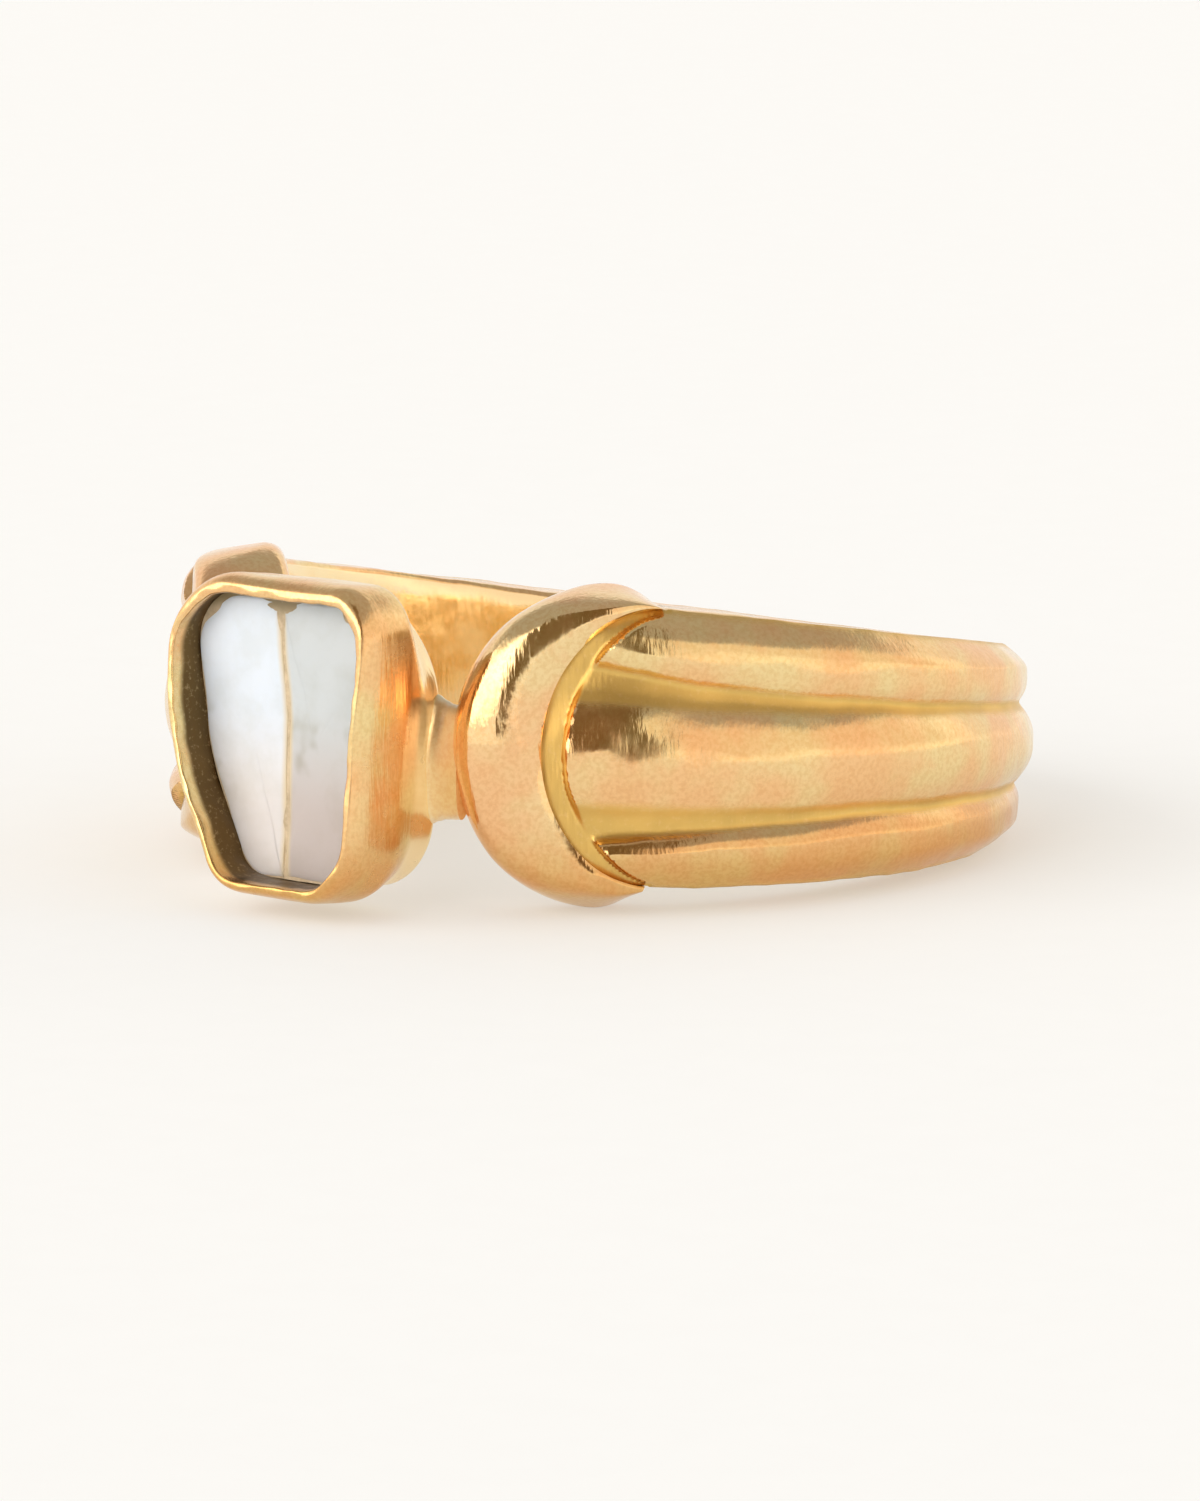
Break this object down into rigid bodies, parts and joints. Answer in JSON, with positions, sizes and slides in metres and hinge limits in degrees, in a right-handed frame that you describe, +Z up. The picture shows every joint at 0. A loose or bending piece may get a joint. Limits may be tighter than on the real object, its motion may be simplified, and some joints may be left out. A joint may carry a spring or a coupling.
{
  "type": "milk tooth ring",
  "caption": "Finger ring with a tapering ridged band, two crescent collars and a keystone-shaped cup on its front that holds flat tooth slabs; it lies on its side.",
  "frame": {"origin": "centre of the box's underside: the ground point under the ring as it lies on its side", "axes": "+Z up, close to the bore's axis, which leans 6.9 degrees from it; the cup faces -Y and the band's back is toward +Y; +X is across the ring"},
  "size_m": [0.0216, 0.0236, 0.008],
  "materials": {
    "gold": "polished yellow gold alloy with fine scratches, satin yellow in the grooves",
    "tooth_enamel": "softly glossy bluish white enamel",
    "tooth_dentine": "smooth greyish pink tooth, satin",
    "setting_cement": "matt ochre setting cement"
  },
  "bodies": {
    "root": {"gold_ring": "gold", "tooth_left": "tooth_enamel", "tooth_right": "tooth_dentine", "cement_bed": "setting_cement"}
  },
  "joints": []
}
